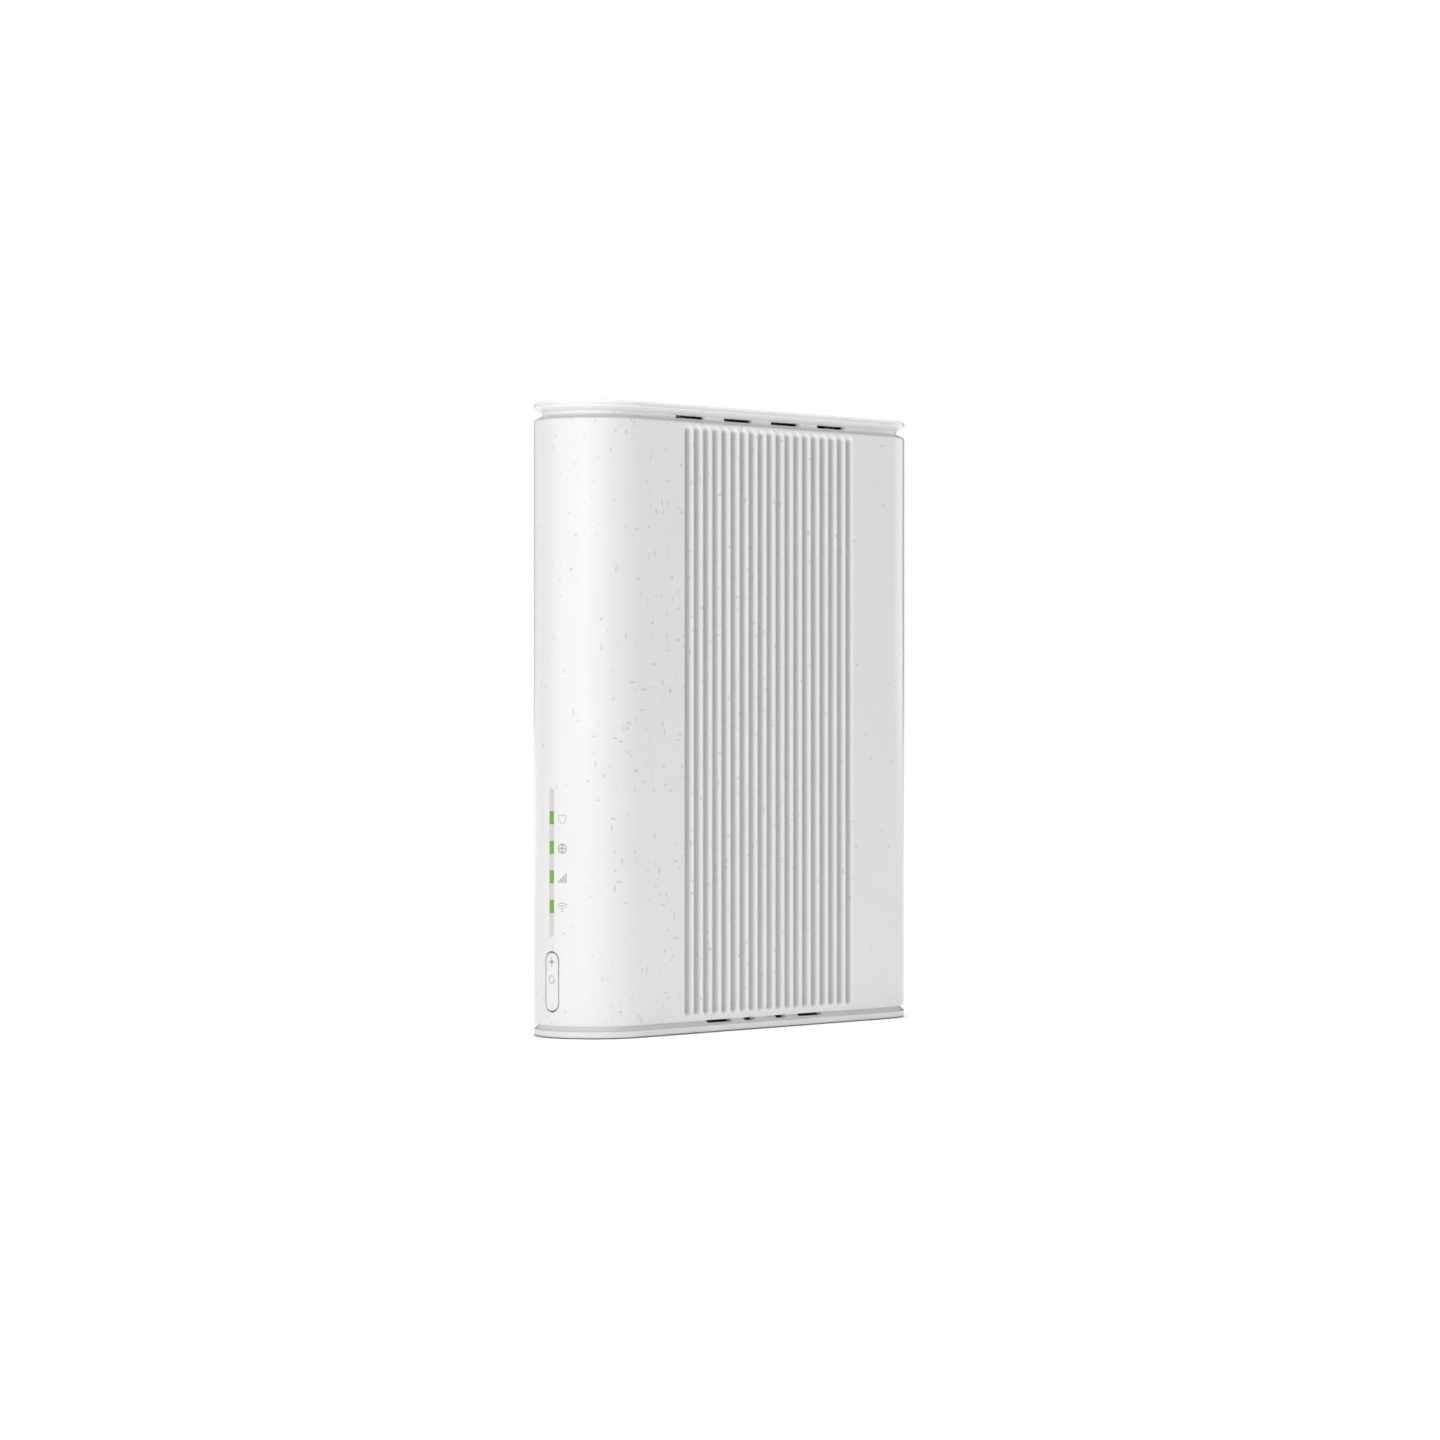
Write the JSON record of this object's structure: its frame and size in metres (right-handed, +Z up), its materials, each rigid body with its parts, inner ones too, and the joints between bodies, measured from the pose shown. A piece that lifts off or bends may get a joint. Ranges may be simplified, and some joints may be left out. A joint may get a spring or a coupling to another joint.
{
  "type": "cable modem",
  "caption": "Upright cable modem with a stadium plan: fluted speckled shell between a thin cap and base, a front light strip and button, and a recessed rear bay of sockets.",
  "frame": {"origin": "on the surface that the feet stand on, under the middle of the case", "axes": "+Z up; the narrow end with the lights and the button faces -Y; the narrow end with the sockets faces +Y; the fluted broad faces look along +X and -X"},
  "size_m": [0.042, 0.176, 0.22],
  "materials": {
    "white_plastic": "satin, light speckle",
    "light_plastic": "frosted",
    "green_lens": "frosted, lit",
    "rubber": "matt",
    "label_film": "satin film",
    "grey_plastic": "moulded",
    "black_plastic": "moulded",
    "circuit_board": "solder mask",
    "aluminium": "extruded",
    "tinned_steel": "stamped",
    "zinc_screw": "plated",
    "nickel_brass": "nickel plated",
    "gold_contact": "gold plated",
    "white_insulator": "moulded",
    "thermal_pad": "soft",
    "chip_resin": "matt",
    "capacitor_sleeve": "shrink sleeve",
    "ferrite": "moulded",
    "lead_jacket": "smooth",
    "cable_film": "film",
    "emitter": "moulded"
  },
  "bodies": {
    "housing": {"body_shell": "white_plastic", "top_cap": "white_plastic", "top_vent_frame": "white_plastic", "base_plate": "white_plastic", "base_vent_frame": "white_plastic", "rating_label": "label_film", "rubber_feet": "rubber", "light_bar": "light_plastic", "light_lenses": "green_lens", "light_shroud": "black_plastic", "light_emitters": "emitter", "front_board": "circuit_board", "front_board_screws": "zinc_screw", "button_guide": "grey_plastic", "front_switch": "black_plastic", "chassis": "grey_plastic", "case_screws": "zinc_screw", "top_screws": "zinc_screw", "main_board": "circuit_board", "board_screws": "zinc_screw", "main_heat_sink": "aluminium", "rear_heat_sink": "aluminium", "heat_sink_screws": "zinc_screw", "thermal_pads": "thermal_pad", "modem_chip": "chip_resin", "radio_chips": "chip_resin", "memory_chips": "chip_resin", "tuner_shield": "tinned_steel", "radio_shields": "tinned_steel", "power_capacitors": "capacitor_sleeve", "power_inductors": "ferrite", "network_transformers": "black_plastic", "rear_panel": "white_plastic", "panel_screws": "zinc_screw", "ethernet_shields": "tinned_steel", "ethernet_inserts": "black_plastic", "ethernet_contacts": "gold_contact", "coax_connector": "nickel_brass", "coax_insulator": "white_insulator", "coax_contact": "gold_contact", "coax_washer": "nickel_brass", "coax_nut": "nickel_brass", "dc_jack": "black_plastic", "dc_centre_pin": "nickel_brass", "power_switch": "black_plastic", "reset_switch": "black_plastic", "front_antenna": "circuit_board", "rear_antenna": "circuit_board", "antenna_sockets": "nickel_brass", "antenna_leads": "lead_jacket", "cable_connectors": "white_insulator", "flat_cable": "cable_film"},
    "front_button": {"front_button": "white_plastic", "front_switch_plunger": "black_plastic"},
    "power_button": {"power_button": "grey_plastic"},
    "reset_button": {"reset_button": "black_plastic"}
  },
  "joints": [
    {"name": "front_button_press", "type": "slide", "parent": "housing", "child": "front_button", "axis": [0, 1, 0], "range_m": [0, 0.0005], "stiffness_N_per_m": 3000, "springref_m": -0.0003},
    {"name": "power_button_press", "type": "slide", "parent": "housing", "child": "power_button", "axis": [0, -1, 0], "range_m": [0, 0.002], "stiffness_N_per_m": 800, "springref_m": -0.001},
    {"name": "reset_button_press", "type": "slide", "parent": "housing", "child": "reset_button", "axis": [0, -1, 0], "range_m": [0, 0.0003], "stiffness_N_per_m": 3000, "springref_m": -0.0003}
  ]
}
